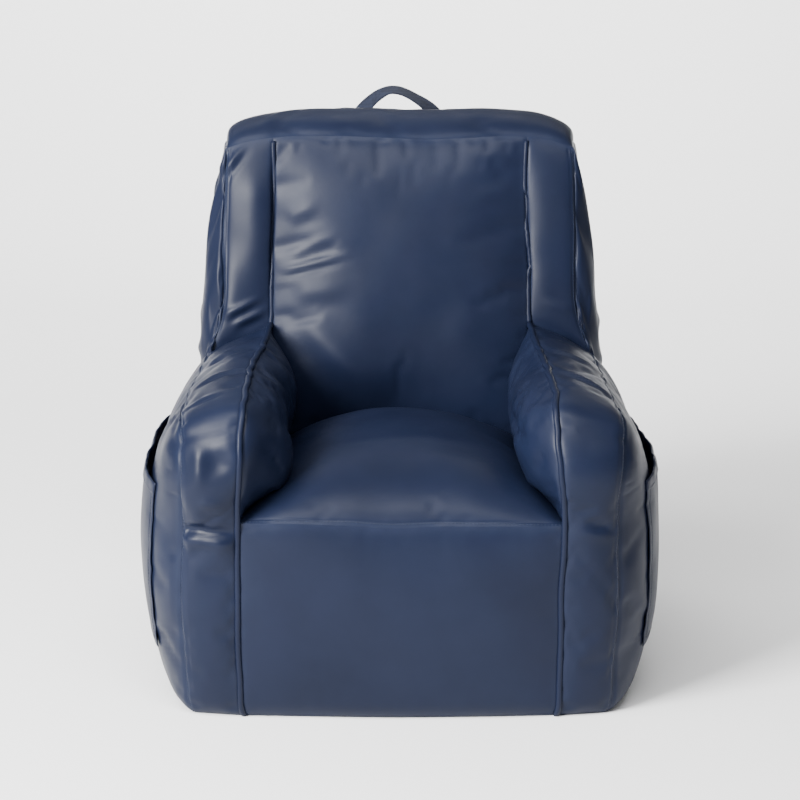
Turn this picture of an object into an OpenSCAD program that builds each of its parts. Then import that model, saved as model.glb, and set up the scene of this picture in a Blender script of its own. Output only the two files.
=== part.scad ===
// Structured bean bag armchair: a sewn cover of separate panels round four
// chambers of bead fill, with corded front seams, side pockets, a webbing
// carry handle and a locking zip low on the rear.
// Origin: middle of the footprint, on the floor. -Y is the front, +Z up.

/* [Body] */
// Height of the top of the back above the floor
body_h = 750; // [736:2:770]
// Distance between the two corded front seams
skirt_w = 420; // [410:5:430]
// Width of the band that runs over each arm and up each side of the back
band_w = 75; // [70:1:80]
// Depth of the base on the floor
base_d = 650; // [640:5:660]
// Height of the seam at the front edge of the seat
seat_h = 268; // [262:2:274]
// Height of the inner seam of each arm where it meets the back
arm_h = 450; // [444:2:456]
// How far the seat stands up above its seams
seat_crown = 78; // [66:2:80]
// How far each arm bulges over the seat
arm_overhang = 58; // [48:2:60]
// How far the outer sides bulge
side_bulge = 42; // [36:1:46]

/* [Cover] */
// Thickness of the cover panels with their backing
skin = 2; // [1.6:0.1:2.2]
// Diameter of the cord in the two front seams
cord_d = 4.5; // [4:0.5:5]

/* [Pocket] */
// How far the mouth of a pocket stands open
pocket_gape = 18; // [15:1:20]

/* [Handle] */
// Width of the carry handle's webbing
webbing_w = 30; // [26:1:32]
// Thickness of the webbing
webbing_t = 2.4; // [2:0.1:2.6]
// Height of the handle's loop above its seam
loop_h = 54; // [50:1:58]

/* [Zip] */
// Length of the zip
zip_len = 300; // [260:10:310]
// Height of the zip's centre line above the floor
zip_z = 62; // [58:1:66]

/* [Hidden] */

cover_colour = "#3a4664";
lining_colour = "#1b1d22";
bead_colour = "#eceef0";
webbing_colour = "#20263a";
metal_colour = "#4a4d55";

seam_gap = 3;          // each panel stops this far short of its seam line
floor_clear = 8;       // height of the lower edge of the standing panels
base_t = 3;            // thickness of the base panel with its backing
fill_floor = 4;        // height of the underside of the bead fill
fill_gap = 14;         // from the outside of the cover to the bead fill
baffle_t = 1.2;
fade_from = 0.28;      // where along a patch its crown starts to lessen
fade_to = 0.46;        // and where it has come down to the share left

xi = skirt_w / 2;      // inner seam of the band, from the middle
xo = xi + band_w;      // outer seam of the band
yf = -base_d / 2;      // front of the base
yr = base_d / 2;       // rear of the base
xb = xi - 22;          // inner seam at the top of the back
xt = xb + band_w - 5;  // outer seam at the top of the back
y_seat = 72;           // rear edge of the seat
seat_rise = 38;        // how far the seat's rear seam arches up in the middle
y_back = 100;          // face of the back where the arms meet it
y_top = 150;           // front seam of the top panel
y_rear = 290;          // rear seam of the top panel
top_crown = 18;        // how far the top panel stands up above its seams
top_h = body_h - top_crown - 10;
back_crown = 40;
skirt_crown = 12;
band_crown = 15;
wing_crown = 12;
rear_crown = 16;

// ---- seams: smooth curves through a few points, drawn on the +X side ----

inner_seam = [
  [xi, yf + 3, 0], [xi + 1, yf - 6, seat_h / 2], [xi + 1, yf - 13, seat_h],
  [xi - 5, yf - 25, seat_h + 72], [xi - 8, yf - 5, arm_h - 55],
  [xi - 9, yf + 40, arm_h - 25], [xi - 12, -100, arm_h - 10], [xi - 20, y_back, arm_h]
];
outer_seam = [
  [xo - 10, yf + 20, 0], [xo + 1, yf + 3, seat_h / 2], [xo + 1, yf, seat_h],
  [xo + 5, yf - 10, seat_h + 62], [xo + 7, yf + 7, arm_h - 80],
  [xo + 5, yf + 50, arm_h - 52], [xo + 1, -100, arm_h - 46], [xo - 2, y_back - 5, arm_h - 40]
];
seat_corner = 2;       // where the seat's front corner is on inner_seam
arm_nose = 5;          // where the arm's front turns into its top
arm_end = 7;

back_seam = [
  [xi - 5, y_seat, seat_h - 4], [xi - 14, y_seat + 14, (seat_h + arm_h) / 2],
  [xi - 20, y_back, arm_h], [xi - 22, y_back + 25, (arm_h + top_h) / 2],
  [xb, y_top, top_h + 1]
];
wing_seam = [
  [xo - 2, y_back - 5, arm_h - 40], [xo - 20, y_back + 6, arm_h + 25],
  [xo - 25, y_back + 25, (arm_h + top_h) / 2], [xt, y_top, top_h - 14]
];
wing_foot = [[xi - 20, y_back, arm_h], [xo - 2, y_back - 5, arm_h - 40]];
top_front = [
  [-xt, y_top, top_h - 14], [-xb, y_top, top_h + 1], [0, y_top - 2, top_h + 3],
  [xb, y_top, top_h + 1], [xt, y_top, top_h - 14]
];
top_rear = [
  [-xt + 4, y_rear, top_h - 14], [-xb, y_rear + 4, top_h + 8], [0, y_rear + 5, top_h + 14],
  [xb, y_rear + 4, top_h + 8], [xt - 4, y_rear, top_h - 14]
];
top_edge = [
  [xt, y_top, top_h - 14], [xt + 3, (y_top + y_rear) / 2, top_h - 8],
  [xt - 4, y_rear, top_h - 14]
];
rear_seam = [
  [xo - 13, yr, 0], [xo - 9, yr + 11, 200], [xo - 18, yr + 9, 400],
  [xo - 20, yr - 3, 590], [xt - 4, y_rear, top_h - 14]
];
seat_front = [
  [-xi - 1, yf - 13, seat_h], [-xi / 2, yf - 19, seat_h - 3], [0, yf - 20, seat_h - 4],
  [xi / 2, yf - 19, seat_h - 3], [xi + 1, yf - 13, seat_h]
];
seat_rear = [
  [-xi + 5, y_seat, seat_h - 4], [0, y_seat + 12, seat_h + seat_rise], [xi - 5, y_seat, seat_h - 4]
];
seat_side = [
  [xi + 1, yf - 13, seat_h], [xi - 3, -135, seat_h - 6], [xi - 5, y_seat, seat_h - 4]
];
front_floor = [[-xi, yf + 3, 0], [0, yf - 6, 0], [xi, yf + 3, 0]];
band_floor = [[xi, yf + 3, 0], [xo - 10, yf + 20, 0]];
side_floor = [[xo - 10, yf + 20, 0], [xo, 0, 0], [xo - 13, yr, 0]];
rear_floor = [
  [-xo + 13, yr, 0], [-170, yr + 11, 0], [0, yr + 12, 0], [170, yr + 11, 0],
  [xo - 13, yr, 0]
];

// A piece of an edge is [points, first, last]; an edge is a list of pieces,
// each taking an equal share of the way from 0 to 1.
function pick(p, i) = p[max(0, min(len(p) - 1, i))];
function spline(a, b, c, d, t) =
  0.5 * (2 * b + (c - a) * t + (2 * a - 5 * b + 4 * c - d) * t * t
    + (3 * b - a - 3 * c + d) * t * t * t);
function on_curve(p, s) =
  let (i = min(max(floor(s), 0), len(p) - 2))
  spline(pick(p, i - 1), p[i], p[i + 1], pick(p, i + 2), s - i);
function at(e, t) =
  let (n = len(e), k = min(max(floor(t * n), 0), n - 1), c = e[k])
  on_curve(c[0], c[1] + (c[2] - c[1]) * (t * n - k));
function whole(p) = [[p, 0, len(p) - 1]];
function part_of(p, a, b) = [[p, a, b]];
function flip_x(p) = [-p[0], p[1], p[2]];
function mirrored(e) = [for (c = e) [[for (p = c[0]) flip_x(p)], c[1], c[2]]];

// ---- patches: a curved sheet between four seams, crowned by the fill behind it ----

// A patch is [lower edge, upper edge, start edge, end edge, crown height,
// squareness along, squareness across, skew of the crown, share of it left at the end].
function flat_point(e, u, v) =
  (1 - v) * at(e[0], u) + v * at(e[1], u) + (1 - u) * at(e[2], v) + u * at(e[3], v)
    - (1 - u) * (1 - v) * at(e[0], 0) - u * (1 - v) * at(e[0], 1)
    - (1 - u) * v * at(e[1], 0) - u * v * at(e[1], 1);
function unit(p) = p / norm(p);
function flat_normal(e, u, v) =
  let (h = 0.02)
  unit(cross(
    flat_point(e, min(u + h, 1), v) - flat_point(e, max(u - h, 0), v),
    flat_point(e, u, min(v + h, 1)) - flat_point(e, u, max(v - h, 0))));
function crown(t, k, skew = 1) = 1 - pow(abs(2 * pow(t, skew) - 1), k);
function ease(t) = let (c = min(max(t, 0), 1)) c * c * (3 - 2 * c);
function skin_point(e, u, v) =
  let (left = 1 - (1 - e[8]) * ease((u - fade_from) / (fade_to - fade_from)))
  flat_point(e, u, v)
    + left * e[4] * crown(u, e[5]) * crown(v, e[6], e[7]) * flat_normal(e, u, v);
function between(a, b, t) = a + (b - a) * t;

// Grid of points of a patch over part of its width and height.
function grid(e, n, m, us, vs) =
  [for (j = [0:m]) [for (i = [0:n])
    skin_point(e, between(us[0], us[1], i / n), between(vs[0], vs[1], j / m))]];
// Grid of a whole panel, stopping short of its seams by gap, and low at its foot.
function panel(e, n, m, gap = seam_gap, low = seam_gap) =
  let (
    wide = norm(at(e[0], 1) - at(e[0], 0)),
    tall = norm(at(e[2], 1) - at(e[2], 0))
  )
  grid(e, n, m, [gap / wide, 1 - gap / wide], [low / tall, 1 - gap / tall]);

function grid_normal(g, i, j) =
  let (n = len(g[0]) - 1, m = len(g) - 1)
  unit(cross(
    g[j][min(i + 1, n)] - g[j][max(i - 1, 0)],
    g[min(j + 1, m)][i] - g[max(j - 1, 0)][i]));
function shifted(g, d) =
  [for (j = [0:len(g) - 1]) [for (i = [0:len(g[0]) - 1]) g[j][i] + d * grid_normal(g, i, j)]];
function reversed(row) = [for (i = [len(row) - 1:-1:0]) row[i]];

function joined(lists) = [for (l = lists) for (x = l) x];
function quad(a, b, c, d) = [[a, b, c], [a, c, d]];

// Closed solid between two grids of the same size; outer is on its normals' side.
module between_grids(outer, inner) {
  n = len(outer[0]);
  m = len(outer);
  k = n * m;
  last_row = (m - 1) * n;
  faces = concat(
    joined([for (j = [0:m - 2]) for (i = [0:n - 2])
      let (a = j * n + i) quad(a, a + n, a + n + 1, a + 1)]),
    joined([for (j = [0:m - 2]) for (i = [0:n - 2])
      let (a = k + j * n + i) quad(a, a + 1, a + n + 1, a + n)]),
    joined([for (a = [0:n - 2]) quad(a, a + 1, k + a + 1, k + a)]),
    joined([for (i = [0:n - 2]) let (a = last_row + i) quad(a + 1, a, k + a, k + a + 1)]),
    joined([for (j = [0:m - 2]) let (a = j * n) quad(a + n, a, k + a, k + a + n)]),
    joined([for (j = [0:m - 2]) let (a = j * n + n - 1) quad(a, a + n, k + a + n, k + a)])
  );
  polyhedron(concat(joined(outer), joined(inner)), faces);
}
module cover(g) {
  color(cover_colour) between_grids(g, shifted(g, -skin));
}
module other_side() {
  mirror([1, 0, 0]) children();
}

// ---- the middle of the cover ----

skirt = [
  whole(front_floor), whole(seat_front), mirrored(part_of(inner_seam, 0, seat_corner)),
  part_of(inner_seam, 0, seat_corner), skirt_crown, 4, 2, 1, 1
];
seat = [
  whole(seat_front), whole(seat_rear), mirrored(whole(seat_side)), whole(seat_side),
  seat_crown, 2.2, 2.4, 1, 1
];
backrest = [
  whole(seat_rear), part_of(top_front, 1, 3), mirrored(whole(back_seam)), whole(back_seam),
  back_crown, 2.5, 2.4, 1, 1
];
top = [
  whole(top_front), whole(top_rear), mirrored(whole(top_edge)), whole(top_edge),
  top_crown, 4, 2.4, 1, 1
];
rear = [
  part_of(rear_floor, 4, 0), part_of(top_rear, 4, 0), whole(rear_seam),
  mirrored(whole(rear_seam)), rear_crown, 6, 2, 1, 1
];

module base_panel() {
  inset = 6;
  steps = 8;
  outline = concat(
    [for (i = [0:steps - 1]) at(whole(front_floor), i / steps)],
    [for (i = [0:steps]) at(whole(side_floor), i / steps)],
    [for (i = [1:steps - 1]) at(whole(rear_floor), 1 - i / steps)],
    [for (i = [0:steps]) flip_x(at(whole(side_floor), 1 - i / steps))]
  );
  color(lining_colour)
    linear_extrude(base_t)
      polygon([for (p = outline) [p[0], p[1]] * (1 - inset / norm(p))]);
}
module front_skirt_panel() {
  cover(panel(skirt, 8, 6, gap = 7, low = floor_clear));
}
module seat_panel() {
  cover(panel(seat, 12, 10));
}
module backrest_panel() {
  cover(panel(backrest, 10, 12, gap = 5));
}
module top_panel() {
  cover(panel(top, 14, 6));
}
module rear_panel() {
  difference() {
    cover(panel(rear, 12, 12, low = floor_clear));
    color(cover_colour) at_zip()
      cube([zip_len + 2 * tape_end - 16, 30, 2 * tape_w - 3], center = true);
  }
}

// ---- one side of the cover, drawn on +X ----

band = [
  whole(band_floor), whole(wing_foot), part_of(inner_seam, 0, arm_end),
  part_of(outer_seam, 0, arm_end), band_crown, 3, 8, 1, 1
];
wing = [
  whole(wing_foot), part_of(top_front, 3, 4), part_of(back_seam, 2, 4),
  whole(wing_seam), wing_crown, 3, 3, 1, 1
];
inner_arm = [
  [[seat_side, 2, 0]], part_of(inner_seam, arm_end, arm_nose), part_of(back_seam, 0, 2),
  part_of(inner_seam, seat_corner, arm_nose), arm_overhang, 3, 2, 1.35, 1
];
// The outer side is L-shaped: arm, back and top edge each take a third of its way.
side = [
  [[side_floor, 0, 1.3], [side_floor, 1.3, 1.46], [side_floor, 1.46, 2]],
  [[outer_seam, arm_nose, arm_end], [wing_seam, 0, 3], [top_edge, 0, 2]],
  part_of(outer_seam, 0, arm_nose), whole(rear_seam), side_bulge, 8, 2.5, 0.7, 0.4
];

module arm_band() {
  cover(panel(band, 4, 20, gap = 5, low = floor_clear));
}
module back_wing() {
  cover(panel(wing, 4, 10, gap = 5));
}
module inner_arm_panel() {
  cover(panel(inner_arm, 10, 8, gap = 8));
}
module outer_side_panel() {
  cover(panel(side, 15, 12, low = floor_clear));
}
module left_arm_band() {
  other_side() arm_band();
}
module right_arm_band() {
  arm_band();
}
module left_back_wing() {
  other_side() back_wing();
}
module right_back_wing() {
  back_wing();
}
module left_inner_arm_panel() {
  other_side() inner_arm_panel();
}
module right_inner_arm_panel() {
  inner_arm_panel();
}
module left_outer_side_panel() {
  other_side() outer_side_panel();
}
module right_outer_side_panel() {
  outer_side_panel();
}

// ---- pockets: sewn on the outer side at the foot and ends, open at the top ----

pocket_ends = [0.06, 0.27];    // front and rear of a pocket along the side
pocket_foot = 0.13;            // its foot, up the side
pocket_mouth = [0.5, 0.6];     // its mouth at the front and at the rear
pocket_clear = 0.6;            // its stand-off where it is sewn down
hem_foot = 1.01;               // the hem, in the pocket's own height
hem_head = 1.07;

// Point s along and t up a pocket, standing d off its inner face.
function pocket_point(s, t, d) =
  let (
    u = between(pocket_ends[0], pocket_ends[1], s),
    v = between(pocket_foot, between(pocket_mouth[0], pocket_mouth[1], s), t),
    h = 0.01,
    out = unit(cross(
      skin_point(side, u + h, v) - skin_point(side, u - h, v),
      skin_point(side, u, v + h) - skin_point(side, u, v - h)))
  )
  skin_point(side, u, v) + (pocket_clear + d + pocket_gape * crown(s, 3) * sqrt(t)) * out;
function pocket_grid(low, high, d, n, m) =
  [for (j = [0:m]) [for (i = [0:n]) pocket_point(i / n, between(low, high, j / m), d)]];
module pocket() {
  color(cover_colour)
    between_grids(pocket_grid(0, 1, skin, 12, 8), pocket_grid(0, 1, 0, 12, 8));
}
module pocket_hem() {
  color(cover_colour) between_grids(
    pocket_grid(hem_foot, hem_head, skin + 1.2, 12, 1),
    pocket_grid(hem_foot, hem_head, 0, 12, 1));
}
module left_pocket() {
  other_side() pocket();
}
module right_pocket() {
  pocket();
}
module left_pocket_hem() {
  other_side() pocket_hem();
}
module right_pocket_hem() {
  pocket_hem();
}

// ---- cord in the inner seam, from the floor over the arm to the top ----

cord_route = concat(
  [for (k = [0:2]) [inner_seam, k * arm_end / 3, (k + 1) * arm_end / 3]],
  part_of(back_seam, 2, 4));
cord_sides = 8;
cord_rings = 48;
cord_start = 0.01;             // clear of the base panel
cord_end = 0.99;

function ring(i) =
  let (
    s = between(cord_start, cord_end, i / cord_rings),
    way = unit(at(cord_route, s + 0.004) - at(cord_route, s - 0.004)),
    across = unit(cross(way, [1, 0, 0])),
    up = cross(way, across)
  )
  [for (k = [0:cord_sides - 1])
    let (a = 360 * k / cord_sides)
    at(cord_route, s) + cord_d / 2 * (cos(a) * across + sin(a) * up)];
module seam_cord() {
  rings = [for (i = [0:cord_rings]) ring(i)];
  n = cord_sides;
  walls = joined([for (j = [0:cord_rings - 1]) for (i = [0:n - 1])
    let (a = j * n + i, b = j * n + (i + 1) % n) quad(a, a + n, b + n, b)]);
  ends = [[for (i = [0:n - 1]) i], [for (i = [n - 1:-1:0]) cord_rings * n + i]];
  color(cover_colour) polyhedron(joined(rings), concat(walls, ends));
}
module left_seam_cord() {
  other_side() seam_cord();
}
module right_seam_cord() {
  seam_cord();
}

// ---- inside: bead fill in four chambers, kept apart by baffles ----

module seat_bead_fill() {
  crest = shifted(panel(seat, 8, 8, gap = 12, low = 12), -fill_gap);
  foot = [for (row = crest) [for (p = row) [p[0], p[1] * 0.95, fill_floor]]];
  color(bead_colour) between_grids(crest, foot);
}
module back_bead_fill() {
  behind = shifted(grid(rear, 10, 12, [0.034, 0.966], [0.018, 0.945]), -fill_gap - 6);
  front_at = [
    [0, y_seat + 16], [seat_h, y_seat + 16], [arm_h, y_back + 10], [top_h, y_top + 10]
  ];
  half = xi - 24;
  foot = seat_h + seat_rise;
  bulge = back_crown - 12;
  ahead = [for (row = behind) [for (p = row)
    let (
      across = max(0, crown(min(max(p[0] / half / 2 + 0.5, 0), 1), 3)),
      up = crown(min(max((p[2] - foot) / (top_h - foot), 0), 1), 2.4)
    )
    [p[0], lookup(p[2], front_at) - bulge * across * up, p[2]]]];
  color(bead_colour) between_grids(behind, ahead);
}
module arm_bead_fill() {
  n = 6;
  low_rows = 4;
  high_rows = 6;
  outside = shifted(
    grid(side, n, low_rows + high_rows - 1, [0.02, 0.3], [0.03, 0.96]), -fill_gap);
  wall_x = xi + 4;
  wall_top = seat_h - 14;
  upright = [for (j = [0:low_rows - 1]) [for (i = [0:n])
    [wall_x, between(yf + 22, y_seat - 10, i / n),
      between(fill_floor + 4, wall_top, j / (low_rows - 1))]]];
  bulging = shifted(
    grid(inner_arm, n, high_rows - 1, [0.06, 0.9], [0.03, 0.88]), -fill_gap - 3);
  color(bead_colour)
    between_grids(outside, concat(upright, [for (row = bulging) reversed(row)]));
}
module left_arm_bead_fill() {
  other_side() arm_bead_fill();
}
module right_arm_bead_fill() {
  arm_bead_fill();
}

// Upright sheet of lining along one side of the seat.
module arm_baffle() {
  outline = [
    [yf + 14, fill_floor], [y_seat + 2, fill_floor], [y_seat + 2, seat_h - 12],
    [yf + 6, seat_h - 10]
  ];
  color(lining_colour)
    translate([xi - 5, 0, 0]) rotate([90, 0, 90]) linear_extrude(baffle_t) polygon(outline);
}
module left_arm_baffle() {
  other_side() arm_baffle();
}
module right_arm_baffle() {
  arm_baffle();
}
// Sheet across the whole chair, under the seat's rear seam and up behind the arms.
module back_baffle() {
  low = seat_h - 14;
  high = arm_h - 70;
  outline = [
    [-xo + 8, fill_floor], [xo - 8, fill_floor], [xo - 8, high], [xi + 6, high],
    [xi + 6, low], [-xi - 6, low], [-xi - 6, high], [-xo + 8, high]
  ];
  color(lining_colour)
    translate([0, y_seat + 10, 0]) rotate([90, 0, 0]) linear_extrude(baffle_t)
      polygon(outline);
}

// ---- carry handle: a loop of webbing hinged in the top panel's rear seam ----

handle_y = y_rear + 6.5;
handle_z = top_h + 17;
handle_ends = [-71, 62];
tail_l = 18;

module handle_loop() {
  crest = loop_h - webbing_w * 0.45;
  outer = [
    [handle_ends[0], 0], [-54, 28], [-15, loop_h], [30, loop_h - 18], [handle_ends[1], 0]
  ];
  inner = [
    [handle_ends[0] + webbing_w, 0], [-33, crest - 17], [-10, crest],
    [20, crest - 12], [handle_ends[1] - webbing_w + 4, 0]
  ];
  steps = 24;
  color(webbing_colour)
    translate([0, handle_y + webbing_t / 2, handle_z]) rotate([90, 0, 0])
      linear_extrude(webbing_t) polygon(concat(
        [for (i = [0:steps]) on_curve(outer, 4 * i / steps)],
        [for (i = [steps:-1:0]) on_curve(inner, 4 * i / steps)]));
}
// The sewn-in end of the webbing, inside the cover.
module handle_tail(x) {
  color(webbing_colour)
    translate([x, y_rear - 5, top_h + 10 - tail_l]) cube([webbing_w - 4, webbing_t, tail_l]);
}
module handle_left_tail() {
  handle_tail(handle_ends[0] + 2);
}
module handle_right_tail() {
  handle_tail(handle_ends[1] - webbing_w + 2);
}

// ---- zip: closed by a slider that locks, low on the rear panel ----

tape_w = 14;
tape_end = 16;          // tape beyond the last tooth at each end
tape_t = 0.8;
tape_out = -skin - 1.8; // outer face of the tapes, from the outside of the cover
tooth_pitch = 5;
slider_l = 11;
zip_rise = zip_z / (top_h + 14);
zip_low = skin_point(rear, 0.5, zip_rise - 0.02);
zip_high = skin_point(rear, 0.5, zip_rise + 0.02);
zip_lean = atan2(zip_high[1] - zip_low[1], zip_high[2] - zip_low[2]);

// Frame of the zip: x along it, y out of the rear panel, z up the panel.
module at_zip() {
  translate((zip_low + zip_high) / 2) rotate([-zip_lean, 0, 0]) children();
}
module zip_tape() {
  translate([-zip_len / 2 - tape_end, tape_out - tape_t, 1.3])
    cube([zip_len + 2 * tape_end, tape_t, tape_w - 1.3]);
}
// One row of teeth on a cord, lying on the tape's edge.
module zip_row() {
  count = floor(zip_len / tooth_pitch);
  start = -count * tooth_pitch / 2;
  teeth = joined([for (i = [0:count - 1])
    let (x = start + i * tooth_pitch)
    [[x + 1, 1.5], [x + 1, 0.7], [x + tooth_pitch - 1, 0.7], [x + tooth_pitch - 1, 1.5]]]);
  outline = concat([[start, 2.6], [start, 1.5]], teeth, [[-start, 1.5], [-start, 2.6]]);
  translate([0, tape_out + 1.6, 0]) rotate([90, 0, 0]) linear_extrude(1.5) polygon(outline);
}
module zip_upper_tape() {
  color(webbing_colour) at_zip() zip_tape();
}
module zip_lower_tape() {
  color(webbing_colour) at_zip() mirror([0, 0, 1]) zip_tape();
}
module zip_upper_coil() {
  color(lining_colour) at_zip() zip_row();
}
module zip_lower_coil() {
  color(lining_colour) at_zip() mirror([0, 0, 1]) zip_row();
}
// Two plates over and under the teeth, held by a post between the rows.
module zip_slider() {
  wide = 8.4;
  plate = 1.1;
  over = tape_out + 1.9;
  under = tape_out - tape_t - 0.4;
  lip = 1.3;
  color(metal_colour) at_zip() translate([zip_len / 2 - slider_l / 2 - 1, 0, 0]) {
    translate([-slider_l / 2, over, -wide / 2]) cube([slider_l, plate, wide]);
    translate([-slider_l / 2, under - plate, -wide / 2]) cube([slider_l, plate, wide]);
    translate([slider_l / 2 - 3, under - plate / 2, -0.35])
      cube([2.5, over - under + plate, 0.7]);
    for (side = [-1, 1])
      translate([-slider_l / 2, over - lip, side * (wide / 2 - 0.45) - 0.45])
        cube([slider_l, lip + plate / 2, 0.9]);
    translate([1, over + plate - 0.1, 0]) rotate([0, 90, 0])
      cylinder(d = 2.4, h = 3, center = true, $fn = 24);
  }
}
module zip_stops() {
  color(metal_colour) at_zip()
    for (side = [-1, 1])
      translate([side * (zip_len / 2 + 1.8), tape_out + 0.9, 0])
        cube([2.4, 1.6, 6.4], center = true);
}
module zip_guard_flap() {
  color(lining_colour) at_zip()
    translate([0, -fill_gap - 2, 0])
      cube([zip_len + 2 * tape_end, 1, 2 * tape_w + 6], center = true);
}

// ---- blank care label in the rear seam ----

module care_label() {
  s = 0.62;
  color("#d8d8d2")
    translate(flip_x(on_curve(rear_seam, s)) + [-1, 1, 0]) rotate([0, 0, 40])
      translate([-0.3, 0.5, -14]) cube([0.6, 22, 28]);
}

base_panel();
front_skirt_panel();
seat_panel();
backrest_panel();
top_panel();
rear_panel();
left_arm_band();
right_arm_band();
left_inner_arm_panel();
right_inner_arm_panel();
left_back_wing();
right_back_wing();
left_outer_side_panel();
right_outer_side_panel();
left_pocket();
right_pocket();
left_pocket_hem();
right_pocket_hem();
left_seam_cord();
right_seam_cord();
seat_bead_fill();
back_bead_fill();
left_arm_bead_fill();
right_arm_bead_fill();
left_arm_baffle();
right_arm_baffle();
back_baffle();
handle_loop();
handle_left_tail();
handle_right_tail();
zip_upper_tape();
zip_lower_tape();
zip_upper_coil();
zip_lower_coil();
zip_slider();
zip_stops();
zip_guard_flap();
care_label();
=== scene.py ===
"""Looks of the bean bag armchair: a sewn faux-leather cover, its pockets, handle and zip.

The cover follows the same network of seams as the CAD part. Each panel is a patch between
four seams, puffed out by a cloth simulation and then given its seam rolls, puckers and folds.
Lengths are in millimetres up to the moment a mesh is made, and in metres from there on.
"""
import math
from collections import namedtuple

import bpy
import numpy as np
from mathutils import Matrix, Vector, noise


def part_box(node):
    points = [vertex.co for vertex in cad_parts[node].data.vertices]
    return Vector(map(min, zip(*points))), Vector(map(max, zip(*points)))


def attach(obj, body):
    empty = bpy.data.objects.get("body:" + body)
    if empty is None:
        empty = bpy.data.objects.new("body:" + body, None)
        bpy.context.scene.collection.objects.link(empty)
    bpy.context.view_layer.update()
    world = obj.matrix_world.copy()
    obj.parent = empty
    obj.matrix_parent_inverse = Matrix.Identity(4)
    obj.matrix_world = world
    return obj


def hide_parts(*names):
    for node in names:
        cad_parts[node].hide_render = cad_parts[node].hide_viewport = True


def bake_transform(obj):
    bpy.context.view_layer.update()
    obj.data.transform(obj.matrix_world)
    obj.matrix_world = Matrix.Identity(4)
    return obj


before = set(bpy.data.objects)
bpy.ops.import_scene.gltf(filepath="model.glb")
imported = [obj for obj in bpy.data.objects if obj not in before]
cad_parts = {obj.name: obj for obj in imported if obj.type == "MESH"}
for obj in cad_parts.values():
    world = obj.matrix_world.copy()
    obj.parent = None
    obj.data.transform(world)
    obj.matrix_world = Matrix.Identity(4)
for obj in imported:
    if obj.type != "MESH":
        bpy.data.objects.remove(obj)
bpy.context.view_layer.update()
scene = bpy.context.scene

# ---- driving sizes, mm
SKIRT_W = 420            # width of the seat and of the skirt below it
BAND_W = 75              # width of an arm's front
BASE_D = 650             # depth of the foot
SEAT_H = 268             # height of the seat's front seam
ARM_H = 450              # height of the inner arm seams at the back
TOP_H = 722              # height of the top panel's front seam
SEAT_RISE = 38           # how much higher the seat's rear seam is in the middle
SEAT_CROWN = 70          # how far the fill pushes a panel out past its seams, from here
BACK_CROWN = 30
TOP_CROWN = 19
ARM_OVERHANG = 50
SIDE_BULGE = 45          # to here
FADE = (0.28, 0.46, 0.2)  # where the sides' bulge starts and stops lessening; what is left

XI = SKIRT_W / 2         # half widths: at the inner and outer arm seams, and likewise at
XO = XI + BAND_W         # the top of the back
XB = XI - 22
XT = XB + BAND_W - 5
YF = -BASE_D / 2         # front and rear of the foot
YR = BASE_D / 2
Y_SEAT = 72              # rear seam of the seat, then the back's seams going up and over
Y_BACK = 100
Y_TOP = 150
Y_REAR = 290
TUCK = 8                 # how far the foot of the cover is rolled in under the chair
TUCK_H = 26              # and the height at which that starts
LOWEST = 0.4             # the cover's clearance from the floor
CLOTH = 1.4              # thickness of the cover's cloth
PUFF = 1.8               # how far a panel stands clear of the line of its seams


# ---- curves and patches
def spline(points, s):
    """Catmull-Rom curve through points, at each parameter of the array s."""
    p = np.asarray(points, float)
    s = np.clip(np.asarray(s, float), 0, len(p) - 1)
    i = np.minimum(s.astype(int), len(p) - 2)
    a = p[np.maximum(i - 1, 0)]
    b = p[i]
    c = p[i + 1]
    d = p[np.minimum(i + 2, len(p) - 1)]
    t = (s - i).reshape(s.shape + (1,) * (p.ndim - 1))
    return 0.5 * (2 * b + (c - a) * t + (2 * a - 5 * b + 4 * c - d) * t ** 2
                  + (3 * b - a - 3 * c + d) * t ** 3)


def at(edge, t):
    """Point of an edge, a list of (points, first, last) stretches with equal shares of 0..1."""
    t = np.asarray(t, float)
    count = len(edge)
    part = np.clip(np.floor(t * count).astype(int), 0, count - 1)
    out = np.zeros(t.shape + (3,))
    for k, (points, first, last) in enumerate(edge):
        here = part == k
        out[here] = spline(points, first + (last - first) * (t[here] * count - k))
    return out


def stretch(points, first, last):
    return [(points, first, last)]


def whole(points):
    return stretch(points, 0, len(points) - 1)


def flip(edge):
    """The same edge on the other side of the chair."""
    return [([(-x, y, z) for x, y, z in points], a, b) for points, a, b in edge]


def across(points):
    """A curve from left to right, given its middle point and those on the right."""
    return [(-x, y, z) for x, y, z in points[:0:-1]] + points


# A panel's edges, its crown's height, how flat-topped that is each way and how lopsided,
# and whether it lessens from start to end.
Patch = namedtuple("Patch", "low high start end lift ku kv skew fades", defaults=(1, False))


def flat_points(p, u, v):
    """Points of the smooth patch between the four edges of p."""
    u, v = np.broadcast_arrays(np.asarray(u, float), np.asarray(v, float))
    a, b, c, d = (at(edge, np.array([end])) for edge in (p.low, p.high) for end in (0.0, 1.0))
    ue, ve = u[..., None], v[..., None]
    return ((1 - ve) * at(p.low, u) + ve * at(p.high, u)
            + (1 - ue) * at(p.start, v) + ue * at(p.end, v)
            - (1 - ue) * (1 - ve) * a - ue * (1 - ve) * b - (1 - ue) * ve * c - ue * ve * d)


def unit(v):
    return v / np.maximum(np.linalg.norm(v, axis=-1, keepdims=True), 1e-9)


def ease(t):
    t = np.clip(t, 0, 1)
    return t * t * (3 - 2 * t)


def crown(t, k, skew=1.0):
    return 1 - np.abs(2 * np.power(t, skew) - 1) ** k


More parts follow.
